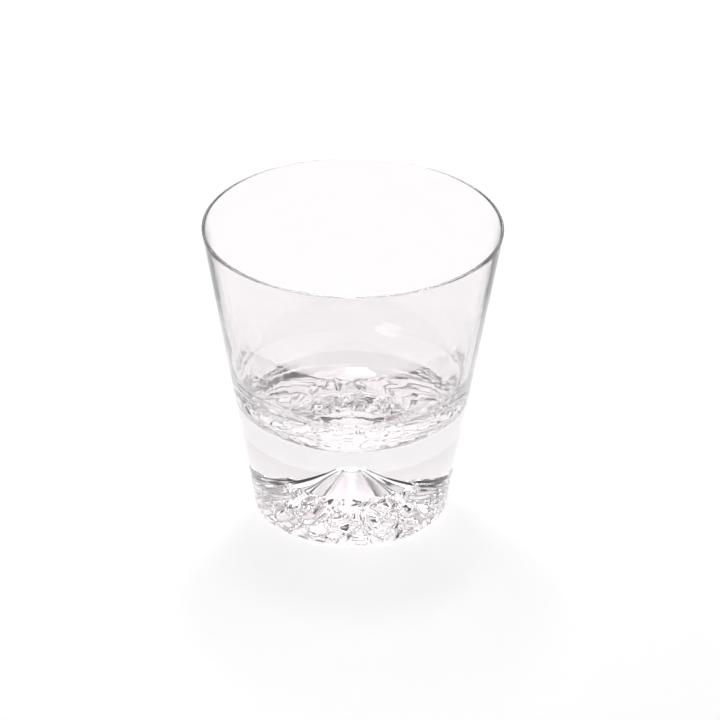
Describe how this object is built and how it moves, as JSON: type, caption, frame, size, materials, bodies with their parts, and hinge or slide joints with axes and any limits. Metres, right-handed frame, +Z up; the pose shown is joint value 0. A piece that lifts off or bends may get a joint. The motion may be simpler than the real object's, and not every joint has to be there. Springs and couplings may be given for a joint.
{
  "type": "whiskey tumbler",
  "caption": "Clear glass whiskey tumbler: a thin conical bowl on a thick foot with a mountain-shaped hollow pressed into its underside.",
  "frame": {"origin": "middle of the foot's resting plane, on the tumbler's axis", "axes": "+Z up along the tumbler's axis towards the rim; +X and +Y lie in the table plane, and -Y faces the viewer"},
  "size_m": [0.0898, 0.0898, 0.095],
  "materials": {
    "clear_glass": "polished clear crystal glass, colourless with a faint lilac-grey cast where it is thick"
  },
  "bodies": {
    "root": {"bowl": "clear_glass", "base": "clear_glass"}
  },
  "joints": []
}
